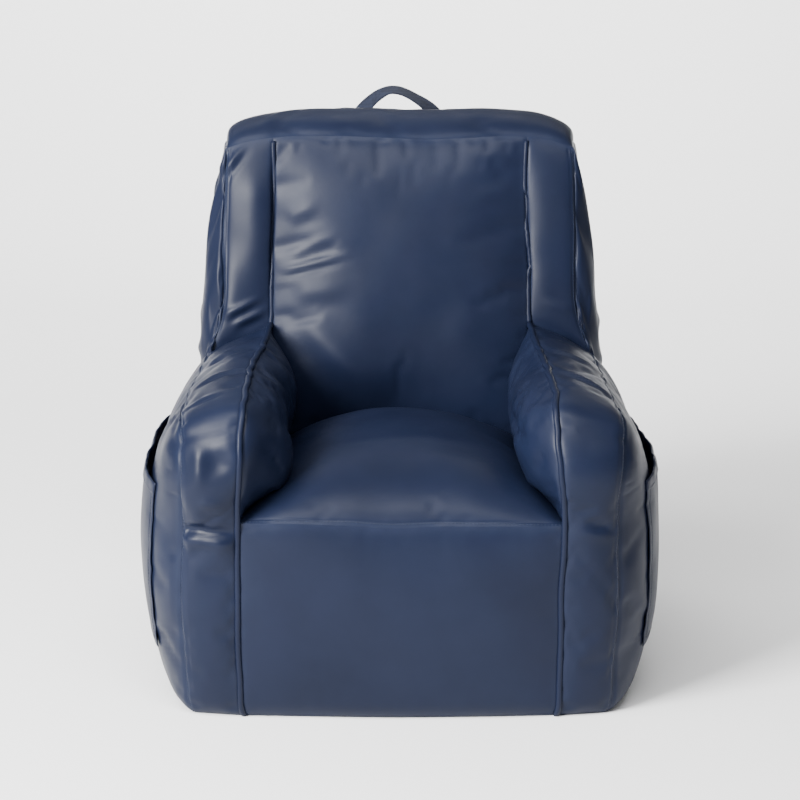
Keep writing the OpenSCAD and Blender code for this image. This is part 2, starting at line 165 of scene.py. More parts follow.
def patch_grid(p, us, vs):
    """Grid of crowned points, one row for each of vs and one column for each of us."""
    u, v = np.meshgrid(us, vs)
    h = 0.02
    du = flat_points(p, np.minimum(u + h, 1), v) - flat_points(p, np.maximum(u - h, 0), v)
    dv = flat_points(p, u, np.minimum(v + h, 1)) - flat_points(p, u, np.maximum(v - h, 0))
    rise = p.lift * crown(u, p.ku) * crown(v, p.kv, p.skew)
    if p.fades:
        first, last, left = FADE
        rise = rise * (1 - (1 - left) * ease((u - first) / (last - first)))
    return flat_points(p, u, v) + rise[..., None] * unit(np.cross(du, dv))


def grid_normals(g):
    return unit(np.cross(np.gradient(g, axis=1), np.gradient(g, axis=0)))


# ---- the seams
INNER = [
    (XI, YF + 3, 0), (XI + 1, YF - 6, SEAT_H / 2), (XI + 1, YF - 13, SEAT_H),
    (XI - 5, YF - 25, SEAT_H + 72), (XI - 8, YF - 5, ARM_H - 55),
    (XI - 9, YF + 40, ARM_H - 25), (XI - 12, -100, ARM_H - 10), (XI - 20, Y_BACK, ARM_H),
]
OUTER = [
    (XO - 4, YF + 16, 0), (XO + 1, YF + 3, SEAT_H / 2), (XO - 3, YF, SEAT_H),
    (XO - 3, YF - 10, SEAT_H + 62), (XO, YF + 7, ARM_H - 80),
    (XO + 2, YF + 50, ARM_H - 52), (XO + 1, -100, ARM_H - 46), (XO - 2, Y_BACK - 5, ARM_H - 40),
]
CORNER, NOSE, END = 2, 5, 7      # seat corner, front of the arm top and its end, on both
BACK = [
    (XI - 5, Y_SEAT, SEAT_H - 4), (XI - 14, Y_SEAT + 14, (SEAT_H + ARM_H) / 2), INNER[END],
    (XI - 22, Y_BACK + 25, (ARM_H + TOP_H) / 2), (XB, Y_TOP, TOP_H + 1),
]
WING = [
    OUTER[END], (XO - 26, Y_BACK + 6, ARM_H + 25),
    (XO - 25, Y_BACK + 25, (ARM_H + TOP_H) / 2), (XT, Y_TOP, TOP_H - 14),
]
WING_FOOT = [INNER[END], OUTER[END]]
TOP_FRONT = across([(0, Y_TOP - 2, TOP_H + 3), BACK[-1], WING[-1]])
TOP_REAR = across([
    (0, Y_REAR + 5, TOP_H + 14), (XB, Y_REAR + 4, TOP_H + 8), (XT - 4, Y_REAR, TOP_H - 14),
])
TOP_EDGE = [WING[-1], (XT + 3, (Y_TOP + Y_REAR) / 2, TOP_H - 8), TOP_REAR[-1]]
REAR = [
    (XO - 13, YR, 0), (XO - 9, YR + 11, 200), (XO - 18, YR + 9, 400),
    (XO - 20, YR - 3, 590), TOP_REAR[-1],
]
SEAT_FRONT = across([
    (0, YF - 20, SEAT_H - 4), (XI / 2, YF - 19, SEAT_H - 3), INNER[CORNER],
])
SEAT_REAR = across([(0, Y_SEAT + 12, SEAT_H + SEAT_RISE), BACK[0]])
SEAT_SIDE = [INNER[CORNER], (XI - 3, -135, SEAT_H - 6), BACK[0]]
FRONT_FLOOR = across([(0, YF - 6, 0), INNER[0]])
BAND_FLOOR = [INNER[0], OUTER[0]]
SIDE_FLOOR = [OUTER[0], (XO + 10, 0, 0), REAR[0]]
REAR_FLOOR = across([(0, YR + 12, 0), (170, YR + 11, 0), REAR[0]])


def middle_patch(low, high, end, *crown_shape):
    return Patch(low, high, flip(end), end, *crown_shape)


PATCHES = {
    "front_skirt_panel": middle_patch(whole(FRONT_FLOOR), whole(SEAT_FRONT),
                                      stretch(INNER, 0, CORNER), 8, 4, 2),
    "seat_panel": middle_patch(whole(SEAT_FRONT), whole(SEAT_REAR), whole(SEAT_SIDE),
                               SEAT_CROWN, 2.9, 2.4),
    "backrest_panel": middle_patch(whole(SEAT_REAR), stretch(TOP_FRONT, 1, 3), whole(BACK),
                                   BACK_CROWN, 2.5, 2.4),
    "top_panel": middle_patch(whole(TOP_FRONT), whole(TOP_REAR), whole(TOP_EDGE),
                              TOP_CROWN, 10, 2.4),
    "rear_panel": middle_patch(stretch(REAR_FLOOR, 4, 0), stretch(TOP_REAR, 4, 0),
                               flip(whole(REAR)), 16, 6, 2),
    "arm_band": Patch(whole(BAND_FLOOR), whole(WING_FOOT), stretch(INNER, 0, END),
                      stretch(OUTER, 0, END), 9, 3, 8),
    "back_wing": Patch(whole(WING_FOOT), stretch(TOP_FRONT, 3, 4), stretch(BACK, 2, 4),
                       whole(WING), 8, 3, 3),
    "inner_arm_panel": Patch([(SEAT_SIDE, 2, 0)], stretch(INNER, END, NOSE),
                             stretch(BACK, 0, 2), stretch(INNER, CORNER, NOSE),
                             ARM_OVERHANG, 3, 2, 1.35),
    "outer_side_panel": Patch(
        [(SIDE_FLOOR, 0, 1.3), (SIDE_FLOOR, 1.3, 1.46), (SIDE_FLOOR, 1.46, 2)],
        [(OUTER, NOSE, END), (WING, 0, 3), (TOP_EDGE, 0, 2)],
        stretch(OUTER, 0, NOSE), whole(REAR), SIDE_BULGE, 12, 2.5, 0.6, True),
}
MIDDLE = ["front_skirt_panel", "seat_panel", "backrest_panel", "top_panel", "rear_panel"]

# How each panel meets its seams, in the order start, end, low, high: the width over which
# the cloth rises from a tight, a soft or a folded seam.
TIGHT, SOFT, FLOOR = 3.4, 13.0, 0.8
SEAM_RISE = {
    "front_skirt_panel": (TIGHT, TIGHT, FLOOR, SOFT),
    "seat_panel": (TIGHT, TIGHT, SOFT, TIGHT),
    "backrest_panel": (TIGHT, TIGHT, TIGHT, SOFT),
    "top_panel": (SOFT, SOFT, SOFT, TIGHT),
    "rear_panel": (TIGHT, TIGHT, FLOOR, TIGHT),
    "arm_band": (TIGHT, TIGHT, FLOOR, SOFT),
    "back_wing": (TIGHT, TIGHT, SOFT, SOFT),
    "inner_arm_panel": (TIGHT, TIGHT, TIGHT, TIGHT),
    "outer_side_panel": (TIGHT, TIGHT, FLOOR, TIGHT),
}
# Rows of topstitching, as {panel: {edge: distances from the seam}}, edges in that order.
TWIN = (3.5, 9.0)
SINGLE = (6.4,)
STITCHED = {
    "arm_band": {1: TWIN}, "back_wing": {1: TWIN}, "top_panel": {3: SINGLE},
    "rear_panel": {0: SINGLE, 1: SINGLE}, "seat_panel": {2: SINGLE},
}
# How strongly each panel puckers along its seams; 1 where it isn't given.
PUCKER = {"front_skirt_panel": 0.12, "seat_panel": 0.12, "backrest_panel": 0.3,
          "top_panel": 0.2, "back_wing": 0.12, "arm_band": 0.3, "inner_arm_panel": 0.5,
          "outer_side_panel": 0.7}

# Folds and mounds of each panel as drawn from one side: the two coordinates of their start
# and of their end, how far they stand out, and their width. A mound starts where it ends.
FRONT, SIDE, PLAN = (0, 2), (1, 2), (0, 1)
FOLDS = {
    ("backrest_panel", FRONT): [
        (-170, 606, -112, 632, 1.6, 9), (-172, 552, -84, 586, 1.8, 9),
        (-184, 528, -62, 562, 2.6, 4.5), (-162, 500, -60, 512, 1.8, 13),
        (-150, 470, -20, 352, 3.6, 19), (-78, 392, -78, 392, 9, 66), (120, 480, 60, 420, 1.6, 22),
        (178, 655, 90, 632, 1.0, 10),
    ],
    ("left_back_wing", FRONT): [
        (-266, 463, -196, 497, 3.4, 5.5), (-250, 452, -190, 478, 3.0, 5.5),
        (-278, 648, -222, 720, 3.0, 5), (-206, 700, -205, 480, 7, 32),
    ],
    ("right_back_wing", FRONT): [
        (255, 470, 205, 492, 1.8, 7), (262, 560, 258, 650, 1.4, 6),
    ],
    ("left_arm_band", FRONT): [
        (-300, 262, -196, 256, -7, 8), (-248, 300, -248, 300, 8, 34), (-254, 376, -257, 306, 3.0, 9),
        (-258, 303, -222, 299, 2.4, 8), (-231, 352, -231, 352, -4.5, 17),
        (-224, 238, -224, 238, 3.0, 20),
    ],
    ("left_arm_band", PLAN): [
        (-290, -196, -180, -148, 2.8, 6), (-292, -60, -190, -10, 2.2, 8),
        (-292, -268, -225, -262, 2.2, 6),
    ],
    ("right_arm_band", FRONT): [
        (286, 250, 212, 262, 2.0, 8), (206, 322, 222, 296, 2.8, 6), (250, 350, 250, 350, 3.0, 30),
    ],
    ("right_arm_band", PLAN): [
        (204, -168, 300, -222, 3.4, 7), (200, -52, 290, -78, 2.8, 7),
    ],
    ("left_inner_arm_panel", SIDE): [
        (-262, 330, -262, 330, 30, 52), (-330, 330, -190, 300, 2.6, 8), (60, 400, -60, 340, 2.4, 9),
    ],
    ("right_inner_arm_panel", SIDE): [
        (-266, 332, -266, 332, 14, 48), (-60, 395, -60, 395, -9, 90), (-320, 372, -70, 372, -3.6, 8),
        (-300, 320, -180, 296, 2.2, 8),
    ],
    ("left_outer_side_panel", SIDE): [
        (125, 446, 300, 520, 3.0, 9), (100, 414, 260, 400, 3.4, 10), (130, 700, 215, 610, 3.0, 7),
        (-250, 410, -210, 350, 2.4, 6), (-302, 120, -210, 92, 2.2, 8), (300, 250, 170, 190, 2.8, 10),
    ],
    ("right_outer_side_panel", SIDE): [
        (125, 440, 270, 470, 3.0, 9), (104, 412, 230, 350, 3.0, 10), (300, 640, 190, 560, 2.6, 10),
        (-40, 404, 20, 340, 2.4, 8), (-296, 150, -200, 110, 2.0, 8), (290, 160, 150, 120, 2.6, 9),
    ],
    ("rear_panel", FRONT): [
        (-240, 660, -110, 560, 3.2, 10), (240, 640, 130, 570, 2.8, 10),
        (-258, 420, -120, 380, 3.4, 11), (262, 300, 110, 340, 3.2, 11), (-60, 716, -40, 640, 2.2, 8),
        (50, 716, 66, 650, 2.0, 8), (-262, 190, -150, 160, 2.6, 9),
    ],
    ("seat_panel", PLAN): [
        (-190, -60, -90, -120, 2.6, 14), (194, -150, 110, -110, 2.0, 14),
    ],
    ("top_panel", PLAN): [
        (-210, 160, -150, 240, 2.2, 9), (-66, 290, -92, 220, 1.8, 9), (56, 290, 84, 226, 1.8, 9),
    ],
}


# ---- meshes
def smooth_noise(points, size, seed=0.0):
    """Smooth noise from -1 to 1 at each point; size is the width of its bumps in mm."""
    flat = np.asarray(points, float).reshape(-1, 3) / size
    out = [noise.noise(Vector((x + seed, y - seed, z + 2 * seed))) for x, y, z in flat]
    return np.array(out).reshape(np.asarray(points).shape[:-1])


ZIP_TAPES = [[np.array(c) * 1000 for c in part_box(f"zip_{row}_tape")] for row in ("lower", "upper")]
ZIP_LOW, ZIP_HIGH = [(low + high) / 2 for low, high in ZIP_TAPES]
ZIP_MID = (ZIP_LOW + ZIP_HIGH) / 2
ZIP_HALF = ZIP_TAPES[0][1][0]     # half the length of the tapes
WINDOW_TALL = 12.5       # half the height of the slot that shows the zip
WANDER = ((170, 6.0), (60, 1.6))  # width and reach of the cover's unevenness
ARM_WANDER = (24, 3.2)   # and of what the arms add to it
UNEVEN_FROM = 80         # the height above which it is at its full strength


def near_zip(g):
    """1 on the rear panel round the zip, falling to 0 a hand's breadth away."""
    rise = np.abs(g[..., 2] - ZIP_MID[2]) - 22
    along = np.abs(g[..., 0]) - ZIP_HALF
    away = np.maximum(np.maximum(rise, along), 0)
    return np.exp(-(away / 26) ** 2) * (g[..., 1] > ZIP_MID[1] - 40)


def warp(g):
    """The unevenness of a hand-filled chair: it moves seams and panels together."""
    g = np.asarray(g, float)
    push = np.zeros(g.shape)
    for size, reach in WANDER:
        push += reach * np.stack(
            [smooth_noise(g, size, 3.1 + 7 * k + size) for k in range(3)], axis=-1)
    on_arms = np.clip((g[..., 2] - 320) / 60, 0, 1) * np.clip((40 - g[..., 1]) / 60, 0, 1)
    size, reach = ARM_WANDER
    push[..., 0] += reach * on_arms * smooth_noise(g, size, 8.3)
    hold = np.clip(g[..., 2] / UNEVEN_FROM, 0, 1) * (1 - near_zip(g))
    return g + push * hold[..., None]


def tuck(g):
    """Rolls the foot of the cover in under the chair."""
    depth = TUCK * np.clip(1 - g[..., 2:] / TUCK_H, 0, 1) ** 2.5
    out = g - depth * unit(g * (1, 1, 0))
    out[..., 2] = np.maximum(out[..., 2], LOWEST)
    return out


def make_mesh(name, verts, faces):
    mesh = bpy.data.meshes.new(name)
    mesh.from_pydata((np.asarray(verts, float).reshape(-1, 3) * 0.001).tolist(), [], faces)
    mesh.update()
    mesh.polygons.foreach_set("use_smooth", [True] * len(mesh.polygons))
    obj = bpy.data.objects.new(name, mesh)
    scene.collection.objects.link(obj)
    return obj


def grid_faces(rows, cols, first=0, wrap=False):
    """Quads of a grid of points; wrap joins its last column to its first."""
    across = cols if wrap else cols - 1
    return [(first + j * cols + i, first + j * cols + (i + 1) % cols,
             first + (j + 1) * cols + (i + 1) % cols, first + (j + 1) * cols + i)
            for j in range(rows - 1) for i in range(across)]


def tube_faces(rows, cols, first=0):
    """Faces of a tube through rings of points, with its ends closed."""
    last = first + (rows - 1) * cols
    ends = [tuple(range(first + cols - 1, first - 1, -1)), tuple(range(last, last + cols))]
    return grid_faces(rows, cols, first, wrap=True) + ends


def closed_tube(name, rings):
    rings = np.asarray(rings, float)
    return make_mesh(name, rings, tube_faces(*rings.shape[:2]))


def circle(count):
    """The cosine and sine of angles spread evenly round a circle."""
    return [(math.cos(a), math.sin(a)) for a in 2 * math.pi * np.arange(count) / count]


def joined(name, objs):
    """One object from several, whose modifiers are applied first."""
    depsgraph = bpy.context.evaluated_depsgraph_get()
    verts, faces = [], []
    for obj in objs:
        mesh = bpy.data.meshes.new_from_object(obj.evaluated_get(depsgraph))
        first = len(verts)
        verts += [v.co * 1000 for v in mesh.vertices]
        faces += [tuple(first + i for i in p.vertices) for p in mesh.polygons]
        bpy.data.objects.remove(obj)
    return make_mesh(name, [tuple(v) for v in verts], faces)


def steps(length, spacing):
    return np.linspace(0, 1, max(4, int(round(length / spacing))) + 1)


def edge_length(edge):
    pts = at(edge, np.linspace(0, 1, 60))
    return float(np.linalg.norm(np.diff(pts, axis=0), axis=1).sum())


# ---- the cloth simulation
def base_name(name):
    return name.split("_", 1)[1] if name.startswith(("left_", "right_")) else name


SPACING = 11.0           # width of the grid's squares
FRAMES = 20              # how long the cloth is left to settle
CAP = 16.0               # the furthest that it may move a point
TAUT = {"back_wing": 0.4}   # share of that movement that a tightly filled panel keeps
# By how much a panel's cloth is larger than its frame of seams; SLACK where it isn't given.
SLACK = 0.006
EXTRA_CLOTH = {"back_wing": 0.0, "seat_panel": 0.001, "front_skirt_panel": 0.001,
               "backrest_panel": 0.004, "top_panel": 0.002, "arm_band": 0.004}
CLOTH_SETTINGS = {
    "quality": 6, "mass": 0.35, "tension_stiffness": 30, "compression_stiffness": 30,
    "shear_stiffness": 12, "bending_stiffness": 1.2, "air_damping": 3,
    "use_pressure": True, "uniform_pressure_force": 4.0, "vertex_group_mass": "seams",
}


def simulate(grids):
    """Puffs every panel out between its pinned seams and returns the new grids."""
    objs = {}
    for name, g in grids.items():
        rows, cols = g.shape[:2]
        obj = make_mesh("sim_" + name, g, grid_faces(rows, cols))
        pins = obj.vertex_groups.new(name="seams")
        held = near_zip(g) > 0.9 if name == "rear_panel" else np.zeros((rows, cols), bool)
        held[[0, -1], :] = True
        held[:, [0, -1]] = True
        pins.add([int(i) for i in np.flatnonzero(held)], 1.0, "REPLACE")
        cloth = obj.modifiers.new("Cloth", "CLOTH")
        for key, value in CLOTH_SETTINGS.items():
            setattr(cloth.settings, key, value)
        cloth.settings.shrink_min = -EXTRA_CLOTH.get(base_name(name), SLACK)
        cloth.settings.effector_weights.gravity = 0
        cloth.collision_settings.use_collision = False
        cloth.point_cache.frame_start = 1
        cloth.point_cache.frame_end = FRAMES
        objs[name] = obj
    for f in range(1, FRAMES + 1):
        scene.frame_set(f)
    depsgraph = bpy.context.evaluated_depsgraph_get()
    out = {}
    for name, obj in objs.items():
        mesh = obj.evaluated_get(depsgraph).to_mesh()
        co = np.zeros(len(mesh.vertices) * 3, np.float32)
        mesh.vertices.foreach_get("co", co)
        start = grids[name]
        move = co.reshape(start.shape).astype(float) * 1000 - start
        size = np.linalg.norm(move, axis=-1, keepdims=True)
        share = TAUT.get(base_name(name), 1) * CAP * np.tanh(size / CAP)
        out[name] = start + move * share / np.maximum(size, 1e-6)
    for obj in objs.values():
        bpy.data.objects.remove(obj)
    scene.frame_set(1)
    return out


# ---- the panels
# Distances from a seam at which there is a row of points, and the spacing of the others.
NEAR_SEAM = [0, 1, 2.2, 3.5, 4.8, 6.4, 7.8, 9, 10.2, 12, 14.5]
FINE = {"backrest_panel": 4.2, "arm_band": 4.2, "back_wing": 4.0, "inner_arm_panel": 4.5,
        "seat_panel": 5.0}
COARSE = 6.0
WINDOW_ROWS = 900        # rows in which the zip's slot is looked for
VALLEY = (0.55, 1.9, 1.2)   # depth, distance and width of the dip beside a fold's ridge
PUCKER_HEIGHT = 2.0
PUCKER_REACH = 20        # how far from its seam a pucker dies away
GROOVE, GROOVE_WIDTH = 0.8, 1.0   # what a row of stitches presses in
BROAD, BROAD_WIDTH = 1.3, 75      # the unevenness of a panel's face


def by_edge(name, table):
    """A panel's row of a table that lists start, end, low, high; left panels run the other way."""
    start, end, low, high = table[base_name(name)]
    return (end, start, low, high) if name.startswith("left_") else (start, end, low, high)


def refine(g, us, vs):
    """The grid g, whose rows and columns are evenly spaced, at finer parameters."""
    rows, cols = g.shape[:2]
    tall = spline(g, np.asarray(vs) * (rows - 1))
    return np.swapaxes(spline(np.swapaxes(tall, 0, 1), np.asarray(us) * (cols - 1)), 0, 1)


def fine_steps(length, spacing):
    """Parameters from 0 to 1: close together near both seams, spacing apart between."""
    near = np.array(NEAR_SEAM)
    inner = length - 2 * near[-1]
    count = max(2, int(round(inner / spacing)))
    middle = near[-1] + inner * np.arange(1, count) / count
    return np.concatenate([near, middle, length - near[::-1]]) / length


def seam_distances(g):
    """Distance of each grid point from its start, end, low and high edge, along the cloth."""
    du = np.linalg.norm(np.diff(g, axis=1), axis=2)
    dv = np.linalg.norm(np.diff(g, axis=0), axis=2)
    left = np.concatenate([np.zeros((len(g), 1)), np.cumsum(du, axis=1)], axis=1)
    low = np.concatenate([np.zeros((1, g.shape[1])), np.cumsum(dv, axis=0)], axis=0)
    return left, left[:, -1:] - left, low, low[-1:] - low


def fold_height(g, axes, folds):
    """How far the folds of a panel lift each point: a ridge with a valley beside it."""
    lift = np.zeros(g.shape[:2])
    depth, aside, breadth = VALLEY
    for *ends, height, width in folds:
        x, y = (g[..., a] - s for a, s in zip(axes, ends))
        way = np.subtract(ends[2:], ends[:2]).astype(float)
        length = math.hypot(*way)
        if length == 0:
            lift += height * np.exp(-(x ** 2 + y ** 2) / width ** 2)
            continue
        along = (x * way[0] + y * way[1]) / length ** 2
        off = (way[0] * y - way[1] * x) / length
        taper = ease(along / 0.3) * ease((1 - along) / 0.5)
        valley = depth * np.exp(-((off + aside * width) / (breadth * width)) ** 2)
        lift += height * taper * (np.exp(-(off / width) ** 2) - valley)
    return lift


def edge_puckers(g, sides, seed):
    """Small folds that run out from each seam and die away within a few centimetres."""
    total = np.zeros(g.shape[:2])
    edges = (g[:, :1], g[:, -1:], g[:1], g[-1:])
    for k, (d, seam) in enumerate(zip(sides, edges)):
        ripple = smooth_noise(seam, 15, seed + k) + 0.6 * smooth_noise(seam, 7, seed - k)
        where = np.clip(0.35 + 1.3 * smooth_noise(seam, 80, seed + 3 * k), 0, 1)
        total += ripple * where * np.exp(-d / PUCKER_REACH) * (1 - np.exp(-(d / 5) ** 2))
    return total


def dress(name, g, seed):
    """Rise from the seams, grooves under the stitching, puckers, folds and broad unevenness."""
    n = grid_normals(g)
    sides = seam_distances(g)
    rise = np.ones(g.shape[:2])
    for d, width in zip(sides, by_edge(name, SEAM_RISE)):
        rise *= 1 - np.exp(-(d / width) ** 2)
    grooves = np.zeros(g.shape[:2])
    for edge, rows in stitched_edges(name).items():
        for row in rows:
            grooves -= GROOVE * np.exp(-((sides[edge] - row) / GROOVE_WIDTH) ** 2)
    inside = 1 - np.exp(-(np.min(sides, axis=0) / 5) ** 2)
    pucker = PUCKER_HEIGHT * PUCKER.get(base_name(name), 1) * edge_puckers(g, sides, seed)
    broad = BROAD * inside * smooth_noise(g, BROAD_WIDTH, seed + 11)
    folds = inside * sum(fold_height(g, axes, rows)
                         for (owner, axes), rows in FOLDS.items() if owner == name)
    free = 1 - near_zip(g) if name == "rear_panel" else 1
    lift = PUFF * rise + grooves * inside + (pucker + broad + folds) * free
    return tuck(g + lift[..., None] * n), np.min(sides, axis=0)


def stitched_edges(name):
    """{edge index: stitch rows} of a panel, with start and end swapped on the left."""
    rows = STITCHED.get(base_name(name), {})
    swap = {0: 1, 1: 0} if name.startswith("left_") else {}
    return {swap.get(edge, edge): found for edge, found in rows.items()}


def zip_window(g):
    """Rows and columns of the rear grid that come closest to the edges of the zip's window."""
    half = ZIP_HALF - 8
    middle = g.shape[1] // 2
    rows = [int(np.abs(g[:, middle, 2] - z).argmin())
            for z in (ZIP_MID[2] - WINDOW_TALL, ZIP_MID[2] + WINDOW_TALL)]
    level = (rows[0] + rows[1]) // 2
    cols = [int(np.abs(g[level, :, 0] - x).argmin()) for x in (half, -half)]
    return rows, cols


Panel = namedtuple("Panel", "grid coarse normals near_seam")


def make_panels():
    """Makes the grids of every panel of the cover, as {name: Panel}."""
    starts = {}
    for name, p in PATCHES.items():
        us = steps(max(edge_length(p.low), edge_length(p.high)), SPACING)
        vs = steps(max(edge_length(p.start), edge_length(p.end)), SPACING)
        g = patch_grid(p, us, vs)
        if name in MIDDLE:
            starts[name] = warp(g)
        else:
            starts["right_" + name] = warp(g)
            starts["left_" + name] = warp(g[:, ::-1] * (-1, 1, 1))
    out = {}
    for k, (name, g) in enumerate(sorted(simulate(starts).items())):
        width = np.linalg.norm(np.diff(g, axis=1), axis=2).sum(axis=1).max()
        height = np.linalg.norm(np.diff(g, axis=0), axis=2).sum(axis=0).max()
        spacing = FINE.get(base_name(name), COARSE)
        us, vs = fine_steps(width, spacing), fine_steps(height, spacing)
        if name == "rear_panel":
            rows, _ = zip_window(refine(g, us, np.linspace(0, 1, WINDOW_ROWS)))
            vs = np.sort(np.append(vs, [row / (WINDOW_ROWS - 1) for row in rows]))
        fine, near = dress(name, refine(g, us, vs), 2.0 + 1.7 * k)
        out[name] = Panel(fine, g, grid_normals(fine), near)
    return out


def stitch_row(panel, edge, distance):
    """Points and normals along one row of stitching of a panel."""
    k = NEAR_SEAM.index(distance)
    pick = [np.s_[:, k], np.s_[:, -1 - k], np.s_[k], np.s_[-1 - k]][edge]
    return panel.grid[pick], panel.normals[pick]


# ---- stitches
STITCH, STITCH_GAP = 3.3, 1.3     # length of a stitch, and from one to the next
STITCH_ARCH, STITCH_SINK = 0.35, 0.05     # how far its middle rises, its ends sink in
THREAD_R = 0.42
# Places along a stitch from -1 to 1, and how thick it is there.
STITCH_PROFILE = ((-1.0, 0.25), (-0.75, 0.85), (0.0, 1.0), (0.75, 0.85), (1.0, 0.25))
STITCH_SIDES = 5


def even_points(points, extra, spacing):
    """Points and their extra vectors at even spacing along a polyline, and its tangents."""
    length = np.concatenate([[0], np.cumsum(np.linalg.norm(np.diff(points, axis=0), axis=1))])
    where = np.arange(spacing / 2, length[-1] - spacing / 2, spacing)

    def pick(values, s):
        return np.stack([np.interp(s, length, values[:, k]) for k in range(3)], axis=-1)
    way = unit(pick(points, where + 0.5) - pick(points, where - 0.5))
    return pick(points, where), unit(pick(extra, where)), way


def stitches(name, rows):
    """One mesh of thread: a small rounded bead for each stitch along each (points, normals)."""
    verts, faces = [], []
    for points, normals in rows:
        for p, n, way in zip(*even_points(points, normals, STITCH + STITCH_GAP)):
            side = np.cross(way, n)
            first = len(verts)
            for along, wide in STITCH_PROFILE:
                height = STITCH_ARCH * (1 - abs(along)) - STITCH_SINK
                centre = p + way * along * STITCH / 2 + n * height
                verts += [tuple(centre + THREAD_R * wide * (x * side + y * n))
                          for x, y in circle(STITCH_SIDES)]
            faces += tube_faces(len(STITCH_PROFILE), STITCH_SIDES, first)
    return make_mesh(name, verts, faces)


# ---- welts in the inner seams
WELT_WIDE, WELT_TALL = 4.2, 3.8   # half the width and height of the covered cord
WELT_OUT = 1.8           # how far it stands out from its seam
WELT_SIDES = 12
WELT_STEP = 5.0
WELT_CORE = (XI - 10, 60, 240)    # a point within the chair, which the cord faces away from


def welt(name, side):
    """The covered cord in one inner seam, from the floor over the arm to the top."""
    s = np.linspace(0, 1, 400)
    route = [at(stretch(INNER, 0, END), s), at(stretch(BACK, 2, 4), s[4:])]
    line = tuck(warp(np.concatenate(route) * (side, 1, 1)))
    line, _, way = even_points(line, line, WELT_STEP)
    away = unit(line - np.multiply(WELT_CORE, (side, 1, 1)))
    out = unit(away - (away * way).sum(axis=1, keepdims=True) * way)
    cross = np.cross(way, out)
    wobble = 1 + 0.05 * smooth_noise(line, 22, 5.0 + side)
    section = [(WELT_WIDE * x, WELT_OUT + WELT_TALL * y) for x, y in circle(WELT_SIDES)]
    rings = [[p + w * (x * wide + y * o) for x, y in section]
             for p, wide, o, w in zip(line, cross, out, wobble)]
    caps = [np.mean(r, axis=0) * 0.6 + np.array(r) * 0.4 for r in (rings[0], rings[-1])]
    rings = np.array([caps[0], *rings, caps[1]])
    rings[..., 2] = np.maximum(rings[..., 2], LOWEST)
    return closed_tube(name + "_welt", rings)


# ---- pockets
POCKET_LONG, POCKET_TALL = 285, 240
POCKET_ENDS = (0.06, 0.27)    # as shares of the side panel: its ends, foot, and mouth at each end
POCKET_FOOT = 0.13
POCKET_MOUTH = (0.50, 0.60)
POCKET_CLEAR = 1.6       # its distance from the panel where it is sewn on
POCKET_GAPE = 8.5        # and how much more at the mouth
LINE_STEPS = 120         # points along each row of its stitching
HEM_PROFILE = (   # round the mouth's edge: height in the pocket, and distance from its cloth
    (0.915, 0.2), (0.92, 1.5), (0.95, 1.9), (1.0, 1.9), (1.045, 1.8), (1.06, 1.3), (1.066, 0),
    (1.06, -1.3), (1.045, -1.7), (1.0, -1.7), (0.94, -1.6), (0.93, -0.8),
)
SAMPLES = 260            # squares across the grid that the pocket is laid on


def pocket_surface(panel, side):
    """A function from (s, t, off) arrays to points on one pocket, off its middle surface."""
    fine = refine(panel.coarse, np.linspace(0, 1, SAMPLES + 1), np.linspace(0, 1, SAMPLES + 1))
    fine = tuck(fine + PUFF * grid_normals(fine))
    normals = grid_normals(fine)

    def sample(values, u, v):
        x, y = u * SAMPLES, v * SAMPLES
        i, j = np.minimum(x.astype(int), SAMPLES - 1), np.minimum(y.astype(int), SAMPLES - 1)
        fx, fy = (x - i)[..., None], (y - j)[..., None]
        return ((1 - fy) * ((1 - fx) * values[j, i] + fx * values[j, i + 1])
                + fy * ((1 - fx) * values[j + 1, i] + fx * values[j + 1, i + 1]))

    def point(s, t, off):
        s, t, off = np.broadcast_arrays(*(np.asarray(x, float) for x in (s, t, off)))
        u = POCKET_ENDS[0] + (POCKET_ENDS[1] - POCKET_ENDS[0]) * s
        mouth = POCKET_MOUTH[0] + (POCKET_MOUTH[1] - POCKET_MOUTH[0]) * s
        v = POCKET_FOOT + (mouth - POCKET_FOOT) * t
        u = u if side > 0 else 1 - u
        drape = 1.0 * np.sin(17 * s + 2 * side) * np.sin(7 * s) * np.clip(t, 0, 1) ** 2
        sag = 1 + 0.1 * np.sin(3 * s + side)
        open_by = crown(s, 3) * (POCKET_GAPE * sag * np.sqrt(np.maximum(t, 0)) + drape)
        away = POCKET_CLEAR + np.maximum(open_by, 0) + off
        return sample(fine, u, v) + away[..., None] * unit(sample(normals, u, v))
    return point


